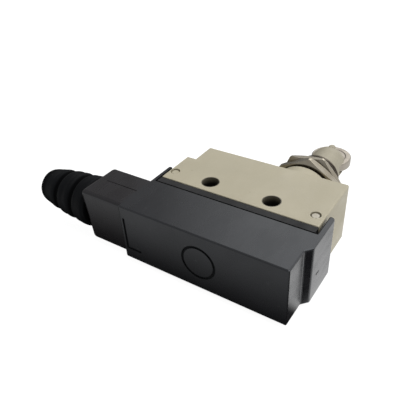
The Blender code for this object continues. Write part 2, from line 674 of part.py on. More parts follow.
# ---- gasket --------------------------------------------------------------
gasket_high = CASE_BOTTOM - FIT_GAP
gasket_low = gasket_high - GASKET_THICK
gasket = box(
    "cover_gasket", (CASE_LEFT, gasket_low, SKIN), (CASE_RIGHT, gasket_high, THICK - SKIN), NYLON)
gasket_room = box(
    "gasket_room", (-half_long - 1.2, gasket_low - CUT_PAST, CASE_WALL),
    (half_long + 1.6, gasket_high + CUT_PAST, THICK - CASE_WALL), cutter=True)
combine(gasket, [gasket_room])

# ---- terminal cover with its neck ---------------------------------------
lip_top = JOINT_Y + LIP_RISE
lip_in = CASE_RIGHT + LIP_PLAY
lip_out = lip_in + LIP_THICK
slope_top = JOINT_Y - LIP_DROP
left_in = CASE_LEFT - LIP_PLAY
left_lip_top = lip_top + 0.4
# a stub of the cover block inside the neck keeps the two side faces in one flat
stub_low = NECK_LOW + NECK_LEAN + NECK_EDGE
stub_high = NECK_LOW + NECK_HIGH - NECK_EDGE - 0.2
cover_outline = [
    (COVER_LEFT, COVER_BOTTOM),
    (COVER_RIGHT, COVER_BOTTOM),
    (COVER_RIGHT, slope_top - LIP_SLOPE),
    (lip_out, slope_top),
    (lip_out, lip_top - 0.9),
    (lip_out - 0.9, lip_top),
    (lip_in, lip_top),
    (lip_in, JOINT_Y),
    (left_in, JOINT_Y),
    (left_in, left_lip_top),
    (COVER_LEFT, left_lip_top),
    (COVER_LEFT, stub_high),
    (COVER_LEFT - STUB_OUT, stub_high),
    (COVER_LEFT - STUB_OUT, stub_low),
    (COVER_LEFT, stub_low),
]
cover = slab("terminal_cover", [cover_outline], SKIN, THICK - SKIN, BLACK, edge=COVER_EDGE)
neck = box(
    "neck_solid", (NECK_END, NECK_LOW, SKIN), (COVER_LEFT + NECK_INTO, NECK_LOW + NECK_HIGH, THICK - SKIN),
    cutter=True)
for corner in neck.data.vertices:
    if corner.co.y < 0.0 and corner.co.z < 0.0:
        corner.co.y += NECK_LEAN * MM
round_edges(neck, NECK_EDGE, 3)
cable_axis = (0.0, CABLE_Y, MID_Z)
spigot = rod("spigot_solid", SPIGOT_R, SPIGOT_END, NECK_END + 3.0, "X", cable_axis,
             cutter=True, steps=36, edge=0.5)
combine(cover, [neck, spigot], "UNION")
neck_line_low = CABLE_Y + NECK_LINE_UP
groove_top = COVER_BOTTOM + GROOVE_DEEP
groove_under = COVER_BOTTOM - CUT_PAST
groove_x = COVER_LEFT + GROOVE_IN
cover_cuts = [
    box("cover_room", (COVER_LEFT + COVER_WALL, COVER_BOTTOM + COVER_WALL, SKIN + COVER_WALL),
        (COVER_RIGHT - COVER_WALL, JOINT_Y + CUT_PAST, THICK - SKIN - COVER_WALL), cutter=True),
    rod("cable_bore", SPIGOT_R - SPIGOT_WALL, SPIGOT_END - CUT_PAST, COVER_LEFT + COVER_WALL + CUT_PAST, "X",
        cable_axis, cutter=True, steps=32),
    box("neck_line", (NECK_END + NECK_LINE_START, neck_line_low, THICK - SKIN - NECK_LINE),
        (COVER_LEFT, neck_line_low + NECK_LINE, THICK + CUT_PAST), cutter=True),
    turned("ring_groove",
           [(RING_OUTER, GROOVE_DEEP), (RING_OUTER, -CUT_PAST), (RING_INNER, -CUT_PAST),
            (RING_INNER, GROOVE_DEEP)],
           "Y", (RING_X, COVER_BOTTOM, MID_Z), cutter=True, steps=40, closed=True),
    box("corner_groove_long", (groove_x - GROOVE_WIDE / 2.0, groove_under, GROOVE_LOW_IN),
        (groove_x + GROOVE_WIDE / 2.0, groove_top, THICK - GROOVE_HIGH_IN), cutter=True),
    box("corner_groove_short", (groove_x, groove_under, GROOVE_LOW_IN),
        (groove_x + GROOVE_LONG, groove_top, GROOVE_LOW_IN + GROOVE_WIDE), cutter=True),
    box("lip_slit", (lip_out - 0.5, slope_top + 3.8, 9.4), (lip_out + CUT_PAST, slope_top + 6.2, 10.0),
        cutter=True),
]
combine(cover, cover_cuts)

# ---- cable boot ----------------------------------------------------------
boot_start = NECK_END - FIT_GAP
outer = [(SPIGOT_R + beyond, boot_start - along) for beyond, along in BOOT_SHAPE]
boot_bore_r = SPIGOT_R - BOOT_STEP
inner = [
    (boot_bore_r, boot_start - BOOT_SHAPE[-1][1]),
    (boot_bore_r, SPIGOT_END - FIT_GAP),
    (SPIGOT_R + FIT_GAP, SPIGOT_END - FIT_GAP),
    (SPIGOT_R + FIT_GAP, boot_start),
]
turned("cable_boot", outer + inner, "X", cable_axis, RUBBER, steps=40, closed=True)
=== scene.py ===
"""Finish and fine shapes for the enclosed limit switch with a roller plunger.

Everything is in metres in the part's own frame: X along the body, Y the way the
plunger points, Z the thickness and the axis of the mounting holes.
"""

import math

import bpy
import numpy as np
from mathutils import Matrix, Vector


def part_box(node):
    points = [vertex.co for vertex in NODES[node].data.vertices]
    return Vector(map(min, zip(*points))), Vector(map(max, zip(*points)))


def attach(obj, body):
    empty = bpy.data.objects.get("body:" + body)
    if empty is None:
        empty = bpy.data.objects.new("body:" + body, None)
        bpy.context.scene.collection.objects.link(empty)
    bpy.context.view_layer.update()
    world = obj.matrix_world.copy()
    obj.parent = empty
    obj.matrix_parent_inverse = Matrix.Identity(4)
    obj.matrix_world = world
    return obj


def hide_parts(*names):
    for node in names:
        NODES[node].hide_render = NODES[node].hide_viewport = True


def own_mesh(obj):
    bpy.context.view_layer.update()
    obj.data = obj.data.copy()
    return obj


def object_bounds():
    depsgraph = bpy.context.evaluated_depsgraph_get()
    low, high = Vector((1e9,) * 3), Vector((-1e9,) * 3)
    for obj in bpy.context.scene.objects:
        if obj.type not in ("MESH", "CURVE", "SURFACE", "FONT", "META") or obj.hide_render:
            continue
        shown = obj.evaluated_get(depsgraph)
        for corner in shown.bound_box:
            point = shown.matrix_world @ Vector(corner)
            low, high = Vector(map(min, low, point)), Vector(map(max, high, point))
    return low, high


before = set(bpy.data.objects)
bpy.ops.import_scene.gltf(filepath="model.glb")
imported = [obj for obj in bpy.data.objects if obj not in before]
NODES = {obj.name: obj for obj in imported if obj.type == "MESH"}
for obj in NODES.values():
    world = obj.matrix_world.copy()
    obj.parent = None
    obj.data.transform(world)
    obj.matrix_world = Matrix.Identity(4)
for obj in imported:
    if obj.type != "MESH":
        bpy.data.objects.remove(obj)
cad_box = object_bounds()
MM = 0.001

HOLE_X = 0.0127          # mounting holes either side of the middle

# ---- where things are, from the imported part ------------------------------
CASE_LOW, CASE_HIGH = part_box("switch_case")
COVER_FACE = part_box("terminal_cover")[0].y      # the bottom face, with the grooves in it
NUT_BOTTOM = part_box("lock_nut_inner")[0].y
ROLLER_LOW, ROLLER_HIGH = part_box("roller")
BOOT_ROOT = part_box("cable_boot")[1].x
HEAD_X = (ROLLER_LOW.x + ROLLER_HIGH.x) / 2.0
MID_Z = (CASE_LOW.z + CASE_HIGH.z) / 2.0

# ---- sizes of the fine pieces, in millimetres ----------------------------
PITCH = 1.0              # thread of the bush and the nuts
THREAD_DEPTH = 0.5
NUT_UP = 1.0             # bush shoulder below the inner nut
NUT_FLAT = 12.3          # nut centre to flat
NUT_BORE = 9.6
NUT_LEAD = 0.35          # bore lead-in of the nuts
NUT_THREAD = 0.28        # depth of the thread inside them
NUT_FACE = NUT_FLAT - 0.4        # round face inside the corner chamfer
NUT_CHAMFER = 25.0       # degrees
NUT_WEAR = 0.22          # how far the six upright edges are worn down
PLAIN_R = 8.0            # plain end of the bush inside the boss
CHAMBER_R = 6.9          # room for the return spring
GUIDE_R = 5.8
SEAL_R = 7.4
WELL_R = 7.7             # well that the roller head slides in
CHAMBER_DEEP = 9.3       # these four are depths below the top of the bush
SEAL_DEEP = 8.1
SEAL_TOP = 6.5
WELL_DEEP = 5.5
THREAD_TOP = 0.35        # where the thread starts, below the top
BOOT_BORE = 4.2
SOCKET_R = 7.3           # socket of the boot over the spigot of the cover
SOCKET_DEEP = 6.9
# outside of the boot: radius, and distance from its root
BOOT_OUTSIDE = (
    (9.2, 0.0), (9.5, 0.4), (9.5, 1.2), (10.3, 2.0), (10.35, 2.6), (10.1, 5.2),
    (9.85, 6.9), (9.15, 7.8), (9.0, 8.6), (9.1, 9.5), (9.65, 10.6), (9.4, 13.0),
    (9.1, 15.9), (8.4, 16.9), (8.15, 17.8), (8.3, 18.7), (8.6, 19.8), (8.2, 22.4),
    (7.65, 25.2), (7.2, 27.0), (6.5, 28.4), (5.2, 29.3),
)


# ---- pattern and painted-shade groups ------------------------------------
class Plan:
    """Short hand for a node tree: makes nodes, sets sockets and joins them."""

    def __init__(self, tree):
        self.tree = tree

    def put(self, kind, settings=None, **sockets):
        node = self.tree.nodes.new(kind)
        for name, value in (settings or {}).items():
            setattr(node, name, value)
        for name, value in sockets.items():
            self.feed(node.inputs[name.replace("_", " ")], value)
        return node

    def feed(self, socket, value):
        if isinstance(value, bpy.types.NodeSocket):
            self.tree.links.new(value, socket)
        else:
            socket.default_value = value

    def math(self, how, a, b=0.0, c=0.0, clamp=False):
        node = self.tree.nodes.new("ShaderNodeMath")
        node.operation = how
        node.use_clamp = clamp
        for socket, value in zip(node.inputs, (a, b, c)):
            self.feed(socket, value)
        return node.outputs[0]

    def noise(self, where, scale, detail=3.0, rough=0.55, stretch=None):
        if stretch:
            where = self.put("ShaderNodeMapping", Vector=where, Scale=stretch).outputs[0]
        node = self.put("ShaderNodeTexNoise", Vector=where, Scale=scale, Detail=detail, Roughness=rough)
        return node.outputs["Fac"]

    def ramp(self, value, low, high, to_low=0.0, to_high=1.0):
        node = self.tree.nodes.new("ShaderNodeMapRange")
        node.interpolation_type = "SMOOTHSTEP"
        for name, number in (("Value", value), ("From Min", low), ("From Max", high),
                             ("To Min", to_low), ("To Max", to_high)):
            self.feed(node.inputs[name], number)
        return node.outputs[0]

    def between(self, a, b, share):
        return self.math("ADD", a, self.math("MULTIPLY", self.math("SUBTRACT", b, a), share))

    def blend(self, amount, a, b, how="MIX"):
        node = self.tree.nodes.new("ShaderNodeMix")
        node.data_type = "RGBA"
        node.blend_type = how
        for socket, value in ((node.inputs[0], amount), (node.inputs[6], a), (node.inputs[7], b)):
            self.feed(socket, value)
        return node.outputs[2]


def new_group(name, inputs, outputs):
    group = bpy.data.node_groups.new(name, "ShaderNodeTree")
    for label, kind, value in inputs:
        socket = group.interface.new_socket(label, in_out="INPUT", socket_type=kind)
        socket.default_value = value
    for label, kind in outputs:
        group.interface.new_socket(label, in_out="OUTPUT", socket_type=kind)
    return group, Plan(group), group.nodes.new("NodeGroupInput"), group.nodes.new("NodeGroupOutput")


FLOAT = "NodeSocketFloat"


def make_skin_group():
    """Skin of a painted or moulded surface: fine grain, soft mottle and rare specks."""
    group, plan, given, out = new_group(
        "moulded_skin",
        [("Grain", FLOAT, 1800.0), ("Mottle", FLOAT, 60.0), ("Specks", FLOAT, 300.0)],
        [("Height", FLOAT), ("Mottle", FLOAT), ("Specks", FLOAT), ("Haze", FLOAT)])
    where = plan.put("ShaderNodeTexCoord").outputs["Object"]
    fine = plan.noise(where, given.outputs["Grain"], 2.0, 0.5)
    broad = plan.noise(where, given.outputs["Mottle"], 4.0, 0.6)
    haze = plan.noise(where, 140.0, 5.0, 0.65, (1.0, 0.35, 1.0))
    dots = plan.put("ShaderNodeTexVoronoi", {"feature": "F1"}, Vector=where, Scale=given.outputs["Specks"])
    speck = plan.ramp(dots.outputs["Distance"], 0.16, 0.08)
    rare = plan.ramp(plan.put("ShaderNodeSeparateColor", Color=dots.outputs["Color"]).outputs[0], 0.80, 0.84)
    plan.feed(out.inputs["Height"], fine)
    plan.feed(out.inputs["Mottle"], broad)
    plan.feed(out.inputs["Specks"], plan.math("MULTIPLY", speck, rare))
    plan.feed(out.inputs["Haze"], haze)
    return group


def make_edge_rub_and_reflection_group():
    """Rubbed edges and painted edge reflection: how far the rounded corner turns away from the flat, broken
    up by grain.
    """
    group, plan, given, out = new_group(
        "rubbed_and_reflecting_edges",
        [("Radius", FLOAT, 0.0006), ("Break", FLOAT, 700.0), ("Patchy", FLOAT, 1.0), ("Amount", FLOAT, 0.5)],
        [("Edge", FLOAT)])
    corner = plan.put("ShaderNodeBevel", {"samples": 4}, Radius=given.outputs["Radius"])
    flat = plan.put("ShaderNodeNewGeometry").outputs["True Normal"]
    turn = plan.tree.nodes.new("ShaderNodeVectorMath")
    turn.operation = "DOT_PRODUCT"
    plan.feed(turn.inputs[0], corner.outputs[0])
    plan.feed(turn.inputs[1], flat)
    lift = plan.ramp(turn.outputs["Value"], 0.995, 0.80)
    where = plan.put("ShaderNodeTexCoord").outputs["Object"]
    broken = plan.ramp(plan.noise(where, given.outputs["Break"], 4.0, 0.7), 0.45, 0.62)
    broken = plan.between(1.0, broken, given.outputs["Patchy"])
    edge = plan.math("MULTIPLY", plan.math("MULTIPLY", lift, broken), given.outputs["Amount"], clamp=True)
    plan.feed(out.inputs["Edge"], edge)
    return group


def make_turning_group():
    """Lathe marks: fine rings about the head's own axis, and small scratches."""
    group, plan, given, out = new_group(
        "turned_metal",
        [("Rings", FLOAT, 2600.0), ("Scratches", FLOAT, 500.0)],
        [("Height", FLOAT), ("Stain", FLOAT)])
    where = plan.put("ShaderNodeTexCoord").outputs["Object"]
    rings = plan.noise(where, given.outputs["Rings"], 2.0, 0.5, (0.05, 1.0, 0.05))
    scratches = plan.noise(where, given.outputs["Scratches"], 5.0, 0.7, (1.0, 0.2, 0.5))
    plan.feed(out.inputs["Height"], plan.math("ADD", rings, plan.math("MULTIPLY", scratches, 0.5)))
    plan.feed(out.inputs["Stain"], plan.noise(where, 160.0, 5.0, 0.6))
    return group


def make_hole_group():
    """Depth of painted shade inside the two mounting holes: inside their radius and below the side face."""
    group, plan, given, out = new_group(
        "hole_shade", [("Radius", FLOAT, 0.0035), ("Top", FLOAT, 0.0238)], [("Shade", FLOAT)])
    place = plan.put("ShaderNodeSeparateXYZ", Vector=plan.put("ShaderNodeTexCoord").outputs["Object"])
    across = plan.math("SUBTRACT", plan.math("ABSOLUTE", place.outputs["X"]), HOLE_X)
    far = plan.math("SQRT", plan.math("ADD", plan.math("MULTIPLY", across, across),
                                      plan.math("MULTIPLY", place.outputs["Y"], place.outputs["Y"])))
    inside = plan.math("LESS_THAN", far, given.outputs["Radius"])
    depth = plan.math("SUBTRACT", given.outputs["Top"], place.outputs["Z"])
    plan.feed(out.inputs["Shade"], plan.math("MULTIPLY", inside, plan.ramp(depth, 0.0003, 0.0030, 0.7, 1.0)))
    return group


def make_groove_group():
    """Masks on the cover: painted shade inside the grooves sunk in its bottom face, and the neck at the
    left.
    """
    group, plan, given, out = new_group("cover_masks", [("Face", FLOAT, -0.0289)],
                                        [("Shade", FLOAT), ("Neck", FLOAT)])
    place = plan.put("ShaderNodeSeparateXYZ", Vector=plan.put("ShaderNodeTexCoord").outputs["Object"])
    sunk = plan.math("SUBTRACT", place.outputs["Y"], given.outputs["Face"])
    shade = plan.math("MULTIPLY", plan.math("GREATER_THAN", sunk, 0.00012),
                      plan.math("LESS_THAN", sunk, 0.0008))
    middle = plan.math("ABSOLUTE", plan.math("ADD", place.outputs["X"], 0.0125))
    shade = plan.math("MULTIPLY", shade, plan.math("LESS_THAN", middle, 0.0204))
    high = plan.math("ABSOLUTE", plan.math("SUBTRACT", place.outputs["Z"], MID_Z))
    shade = plan.math("MULTIPLY", shade, plan.math("LESS_THAN", high, 0.0078))
    plan.feed(out.inputs["Shade"], shade)
    plan.feed(out.inputs["Neck"], plan.ramp(place.outputs["X"], -0.0325, -0.0345))
    return group


def make_rib_group():
    """Painted shade along the boot: dark at its root and in the grooves 8.6 and 17.8 mm from it, and darker
    towards its far end.
    """
    group, plan, given, out = new_group("rib_shade", [("Root", FLOAT, -0.0533)], [("Shade", FLOAT)])
    place = plan.put("ShaderNodeSeparateXYZ", Vector=plan.put("ShaderNodeTexCoord").outputs["Object"])
    along = plan.math("SUBTRACT", given.outputs["Root"], place.outputs["X"])
    shade = plan.ramp(along, 0.0016, 0.0002)
    for groove in (0.0086, 0.0178):
        off = plan.math("ABSOLUTE", plan.math("SUBTRACT", along, groove))
        shade = plan.math("MAXIMUM", shade, plan.ramp(off, 0.0020, 0.0004))
    shade = plan.math("MAXIMUM", shade, plan.ramp(along, 0.0225, 0.0275, 0.0, 0.85))
    plan.feed(out.inputs["Shade"], shade)
    return group


def make_corner_shade_group():
    """Painted shade: how closed-in a place is, seen from within a short reach of it."""
    group, plan, given, out = new_group("corner_painted_shade", [("Reach", FLOAT, 0.003)], [("Shade", FLOAT)])
    open_share = plan.put("ShaderNodeAmbientOcclusion", {"samples": 8}, Distance=given.outputs["Reach"])
    plan.feed(out.inputs["Shade"], plan.ramp(open_share.outputs["AO"], 0.80, 0.35))
    return group


SKIN = make_skin_group()
HOLES = make_hole_group()
GROOVES = make_groove_group()
RIBS = make_rib_group()
CORNER_SHADE = make_corner_shade_group()
EDGE_RUB_AND_REFLECTION = make_edge_rub_and_reflection_group()
TURNING = make_turning_group()


# ---- finishes ------------------------------------------------------------
def start(name, rough, metal=0.0, specular=0.5):
    mat = bpy.data.materials.new(name)
    mat.use_nodes = True
    shader = mat.node_tree.nodes["Principled BSDF"]
    shader.inputs["Roughness"].default_value = rough
    shader.inputs["Metallic"].default_value = metal
    shader.inputs["Specular IOR Level"].default_value = specular
    return mat, Plan(mat.node_tree), shader


def group_in(plan, group, **values):
    node = plan.tree.nodes.new("ShaderNodeGroup")
    node.node_tree = group
    for name, value in values.items():
        plan.feed(node.inputs[name], value)
    return node


def bump(plan, shader, height, depth, strength=1.0):
    node = plan.put("ShaderNodeBump", Strength=strength, Distance=depth, Height=height)
    plan.feed(shader.inputs["Normal"], node.outputs[0])


def skin_finish(name, colour, rub_and_reflection_colour, rough, specular, grain=1800.0, depth=0.00003, mottle=0.10, rub_and_reflection_amount=0.5,
                speck=(0.1, 0.1, 0.1), speck_share=0.5, rough_play=0.10, edge_radius=0.0006, patchy=1.0):
    """Painted or moulded skin: mottled colour, grainy bump, hazy roughness, and edges blended to a given
    colour, which is rubbed paint on most finishes and a painted dark reflection line on the black cover.
    """
    mat, plan, shader = start(name, rough, 0.0, specular)
    marks = group_in(plan, SKIN, Grain=grain, Mottle=55.0, Specks=260.0)
    edge_rub_and_reflection = group_in(plan, EDGE_RUB_AND_REFLECTION, Radius=edge_radius, Break=600.0, Patchy=patchy, Amount=rub_and_reflection_amount)
    dark = tuple(c * (1.0 - mottle) for c in colour)
    light = tuple(min(1.0, c * (1.0 + mottle)) for c in colour)
    base = plan.blend(plan.ramp(marks.outputs["Mottle"], 0.3, 0.7), (*dark, 1.0), (*light, 1.0))
    base = plan.blend(plan.math("MULTIPLY", marks.outputs["Specks"], speck_share), base, (*speck, 1.0))
    base = plan.blend(edge_rub_and_reflection.outputs["Edge"], base, (*rub_and_reflection_colour, 1.0))
    plan.feed(shader.inputs["Base Color"], base)
    plan.feed(shader.inputs["Roughness"],
              plan.ramp(marks.outputs["Haze"], 0.3, 0.7, rough - rough_play, rough + rough_play))
    bump(plan, shader, marks.outputs["Height"], depth)
    return mat


def metal_finish(name, colour, stain, rough, rings=2600.0, depth=0.00002, stain_share=0.5, metal=1.0):
    """Turned or plated metal: rings, scratches and a faint stain."""
    mat, plan, shader = start(name, rough, metal)
    marks = group_in(plan, TURNING, Rings=rings, Scratches=600.0)
    amount = plan.math("MULTIPLY", plan.ramp(marks.outputs["Stain"], 0.4, 0.7), stain_share)
    plan.feed(shader.inputs["Base Color"], plan.blend(amount, (*colour, 1.0), (*stain, 1.0)))
    plan.feed(shader.inputs["Roughness"],
              plan.ramp(marks.outputs["Height"], 0.5, 1.0, rough - 0.08, rough + 0.12))
    bump(plan, shader, marks.outputs["Height"], depth)
    return mat


CASE_PAINT = skin_finish("beige_case_paint", (0.408, 0.372, 0.272), (0.50, 0.47, 0.38), 0.46, 0.45,
                         grain=2200.0, depth=0.000035, mottle=0.035, rub_and_reflection_amount=0.35, speck=(0.22, 0.20, 0.15),
                         speck_share=0.30)
# the near-black edge colour here is a painted dark reflection along the cover's rounded edges
COVER_PLASTIC = skin_finish("black_cover_plastic", (0.0100, 0.0098, 0.0115), (0.0012, 0.0012, 0.0015),
                            0.25, 0.5, grain=2600.0, depth=0.000012, mottle=0.20, rub_and_reflection_amount=0.9, patchy=0.15,
                            edge_radius=0.0005, speck=(0.08, 0.08, 0.08), speck_share=0.15,
                            rough_play=0.06)
COVER_SHADER = COVER_PLASTIC.node_tree.nodes["Principled BSDF"]
COVER_SHADER.inputs["Specular Tint"].default_value = (0.90, 0.95, 1.0, 1.0)
GASKET_RUBBER = skin_finish("black_gasket_rubber", (0.010, 0.010, 0.011), (0.02, 0.02, 0.02), 0.60, 0.35,
                            mottle=0.25, rub_and_reflection_amount=0.2)
BOOT_RUBBER = skin_finish("black_boot_rubber", (0.0035, 0.004, 0.005), (0.015, 0.015, 0.015), 0.40, 0.05,
                          grain=1500.0, depth=0.00004, mottle=0.25, rub_and_reflection_amount=0.3, speck=(0.10, 0.10, 0.10),
                          speck_share=0.3)
PLATED = metal_finish("plated_steel", (0.66, 0.62, 0.53), (0.45, 0.40, 0.30), 0.30)
NUT_METAL = metal_finish("warm_nickel", (0.42, 0.385, 0.315), (0.28, 0.235, 0.165), 0.30)
# steel colour darkened as painted shade for the shadow the bush sits in under the head
BUSH_METAL = metal_finish("threaded_steel_darkened_as_shade", (0.16, 0.14, 0.115), (0.08, 0.065, 0.05), 0.42)
PIN_METAL = metal_finish("bare_pin_steel", (0.42, 0.40, 0.35), (0.28, 0.25, 0.19), 0.36)
HEAD_METAL = metal_finish("dull_zinc", (0.365, 0.335, 0.255), (0.27, 0.245, 0.18), 0.55, metal=0.2)
ROLLER_STEEL = metal_finish("roller_steel", (0.40, 0.365, 0.315), (0.29, 0.25, 0.21), 0.40)
SPRING_WIRE = metal_finish("spring_wire", (0.60, 0.60, 0.60), (0.4, 0.4, 0.4), 0.30)
BRASS = metal_finish("brass_strip", (0.72, 0.55, 0.25), (0.45, 0.32, 0.12), 0.32)
COPPER = metal_finish("copper_strip", (0.75, 0.42, 0.26), (0.5, 0.28, 0.15), 0.33)
SILVER = metal_finish("contact_silver", (0.80, 0.79, 0.76), (0.5, 0.48, 0.44), 0.25)
SWITCH_BODY = skin_finish("dark_switch_body", (0.035, 0.016, 0.011), (0.08, 0.05, 0.04), 0.45, 0.5)
BUTTON_RED = skin_finish("red_button", (0.40, 0.03, 0.02), (0.5, 0.1, 0.08), 0.40, 0.5)


def darken_grooves(mat):
    """Painted shade in the moulded grooves of the cover's bottom face: near black and duller there; the neck
    is a little browner.
    """
    plan = Plan(mat.node_tree)
    shader = mat.node_tree.nodes["Principled BSDF"]
    shade = group_in(plan, GROOVES, Face=COVER_FACE).outputs["Shade"]
    base = shader.inputs["Base Color"].links[0].from_socket
    plan.feed(shader.inputs["Base Color"], plan.blend(shade, base, (0.0004, 0.0004, 0.0005, 1.0)))
    rough = shader.inputs["Roughness"].links[0].from_socket
    plan.feed(shader.inputs["Roughness"], plan.between(rough, 0.95, shade))
    neck = group_in(plan, GROOVES, Face=COVER_FACE).outputs["Neck"]
    base = shader.inputs["Base Color"].links[0].from_socket
    plan.feed(shader.inputs["Base Color"], plan.blend(neck, base, (0.0105, 0.0085, 0.0095, 1.0)))


def shade_ribs(mat):
    """Boot rubber: painted shade makes it duller and blacker in the two grooves, at the root and towards the
    far end; a little greyer on the ribs.
    """
    plan = Plan(mat.node_tree)
    shader = mat.node_tree.nodes["Principled BSDF"]
    shade = group_in(plan, RIBS, Root=BOOT_ROOT).outputs["Shade"]
    base = shader.inputs["Base Color"].links[0].from_socket
    greyer = plan.blend(0.5, base, (0.009, 0.0095, 0.0105, 1.0))
    plan.feed(shader.inputs["Base Color"], plan.blend(shade, greyer, (0.0008, 0.0009, 0.0012, 1.0)))
    plan.feed(shader.inputs["Roughness"], plan.ramp(shade, 0.0, 1.0, 0.46, 0.9))


def paint_shade_in_corners(mat, colour, reach):
    """Painted shade, brownish and duller, where a piece is close to its neighbour."""
    plan = Plan(mat.node_tree)
    shader = mat.node_tree.nodes["Principled BSDF"]
    shade = group_in(plan, CORNER_SHADE, Reach=reach).outputs["Shade"]
    base = shader.inputs["Base Color"].links[0].from_socket
    plan.feed(shader.inputs["Base Color"], plan.blend(shade, base, colour))
    rough = shader.inputs["Roughness"].links[0].from_socket
    plan.feed(shader.inputs["Roughness"], plan.between(rough, 0.75, shade))


def darken_holes(mat):
    """Darkens the case inside the two mounting holes, more so deeper below the side face: painted shade."""
    plan = Plan(mat.node_tree)
    shader = mat.node_tree.nodes["Principled BSDF"]
    shade = group_in(plan, HOLES).outputs["Shade"]
    paint = shader.inputs["Base Color"].links[0].from_socket
    plan.feed(shader.inputs["Base Color"], plan.blend(shade, paint, (0.012, 0.010, 0.008, 1.0)))


darken_holes(CASE_PAINT)
darken_grooves(COVER_PLASTIC)
shade_ribs(BOOT_RUBBER)
# painted shade where the nuts and the bush are closed in by their neighbours
for shaded_metal in (NUT_METAL, BUSH_METAL):
    paint_shade_in_corners(shaded_metal, (0.035, 0.025, 0.015, 1.0), 0.004)

FINISH = {
    "switch_case": CASE_PAINT, "terminal_cover": COVER_PLASTIC, "cover_gasket": GASKET_RUBBER,
    "cable_boot": BOOT_RUBBER, "plunger_seal": BOOT_RUBBER,
    "side_pin_left": CASE_PAINT, "side_pin_right": PIN_METAL,
    "threaded_bush": BUSH_METAL, "lock_nut_inner": NUT_METAL, "lock_nut_outer": NUT_METAL,
    "roller_plunger": HEAD_METAL, "roller": ROLLER_STEEL, "roller_pin": HEAD_METAL,
    "spring_seat": PLATED, "plunger_clip": SPRING_WIRE, "return_spring": SPRING_WIRE,
    "overtravel_spring": SPRING_WIRE, "button_cap": BRASS, "switch_button": BUTTON_RED,
    "switch_base": SWITCH_BODY, "switch_lid": SWITCH_BODY, "snap_blade": COPPER, "moving_contact": SILVER,
    "terminal_com": BRASS, "terminal_no": BRASS, "terminal_nc": BRASS,
    "terminal_screw_com": PLATED, "terminal_screw_no": PLATED, "terminal_screw_nc": PLATED,
}


def repaint(obj, mat):
    for place in obj.material_slots:
        place.link = "OBJECT"
        place.material = mat


for node_name, finish_used in FINISH.items():
    repaint(NODES[node_name], finish_used)


# ---- surfaces ------------------------------------------------------------
def rounded(points, radius, count=5):
    """A closed outline with soft corners: each corner P is left radius before it and joined radius
    after it by (1-t)^2 A + 2 t (1-t) P + t^2 B, where A and B lie on the two sides."""
    p = np.asarray(points, float)
    before, after = np.roll(p, 1, 0) - p, np.roll(p, -1, 0) - p
    long_a = np.linalg.norm(before, axis=1, keepdims=True)
    long_b = np.linalg.norm(after, axis=1, keepdims=True)
    cut = np.minimum(radius, 0.45 * np.minimum(long_a, long_b))
    a = (p + before / long_a * cut)[:, None]
    b = (p + after / long_b * cut)[:, None]
    t = np.linspace(0.0, 1.0, count)[None, :, None]
    return ((1 - t) ** 2 * a + 2 * t * (1 - t) * p[:, None] + t ** 2 * b).reshape(-1, 2)


def smooth_line(points, count):
    """A smooth curve through (value, place) points: cubic pieces whose slope at each point is the
    mean of the slopes beside it, sampled at count even places."""
    p = np.asarray(points, float)
    place, value = p[:, 1], p[:, 0]
    slope = np.gradient(value, place)
    at = np.linspace(place[0], place[-1], count)
    i = np.clip(np.searchsorted(place, at, "right") - 1, 0, len(place) - 2)
    step = place[i + 1] - place[i]
    t = (at - place[i]) / step
    line = ((2 * t ** 3 - 3 * t ** 2 + 1) * value[i] + (t ** 3 - 2 * t ** 2 + t) * step * slope[i]
            + (3 * t ** 2 - 2 * t ** 3) * value[i + 1] + (t ** 3 - t ** 2) * step * slope[i + 1])
    return np.stack([line, at], 1)


def skin(name, grids, mat, body, nodes, crease=38.0, loop=True):
    """One mesh from grids of points in millimetres: each grid wraps round along its columns, and along
    its rows too if it is a loop. Every square of four neighbours is a face, and a grid whose volume
    comes out negative is turned round."""
    places, faces, start = [], [], 0
    for grid in grids:
        rows, cols = grid.shape[:2]
        index = np.arange(rows * cols).reshape(rows, cols)
        right, down = np.roll(index, -1, 1), np.roll(index, -1, 0)
        quads = np.stack([index, right, np.roll(right, -1, 0), down], -1)
        quads = (quads if loop else quads[:-1]).reshape(-1, 4)
        flat = grid.reshape(-1, 3)
        a, b, c, d = (flat[quads[:, k]] for k in range(4))
        volume = (np.einsum("ij,ij->i", a, np.cross(b, c)) + np.einsum("ij,ij->i", a, np.cross(c, d))).sum()
        if volume < 0.0:
            quads = quads[:, ::-1]
        places.append(flat)
        faces.append(quads + start)
        start += len(flat)
    points, quads = np.concatenate(places) * MM, np.concatenate(faces)
    mesh = bpy.data.meshes.new(name)
    mesh.vertices.add(len(points))
    mesh.vertices.foreach_set("co", points.ravel())
    mesh.loops.add(quads.size)
    mesh.loops.foreach_set("vertex_index", quads.ravel().astype(np.int32))
    mesh.polygons.add(len(quads))
    mesh.polygons.foreach_set("loop_start", np.arange(0, quads.size, 4, dtype=np.int32))
    mesh.polygons.foreach_set("loop_total", np.full(len(quads), 4, np.int32))
    mesh.update(calc_edges=True)
    mesh.validate()
    mesh.shade_smooth()
    mesh.set_sharp_from_angle(angle=math.radians(crease))
    mesh.materials.append(mat)
    obj = bpy.data.objects.new(name, mesh)
    bpy.context.scene.collection.objects.link(obj)
    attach(obj, body)
    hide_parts(*nodes)
    return obj


def around(outline, steps, axis, centre, twist=None):
    """Turns a closed outline of (radius, height) round an axis through centre. twist(radius, height,
    angle) may change the radius, which is how a thread winds round."""
    angle = np.linspace(0.0, math.tau, steps, endpoint=False)[:, None]
    radius = np.broadcast_to(outline[None, :, 0], (steps, len(outline)))
    height = np.broadcast_to(outline[None, :, 1], (steps, len(outline)))
    if twist:
        radius = twist(radius, height, angle)
    across, up = radius * np.sin(angle), radius * np.cos(angle)
    x, y, z = centre
    if axis == "Y":
        return np.stack([x + across, y + height, z + up], -1)
    if axis == "X":
        return np.stack([x + height, y + across, z + up], -1)
    return np.stack([x + across, y + up, z + height], -1)


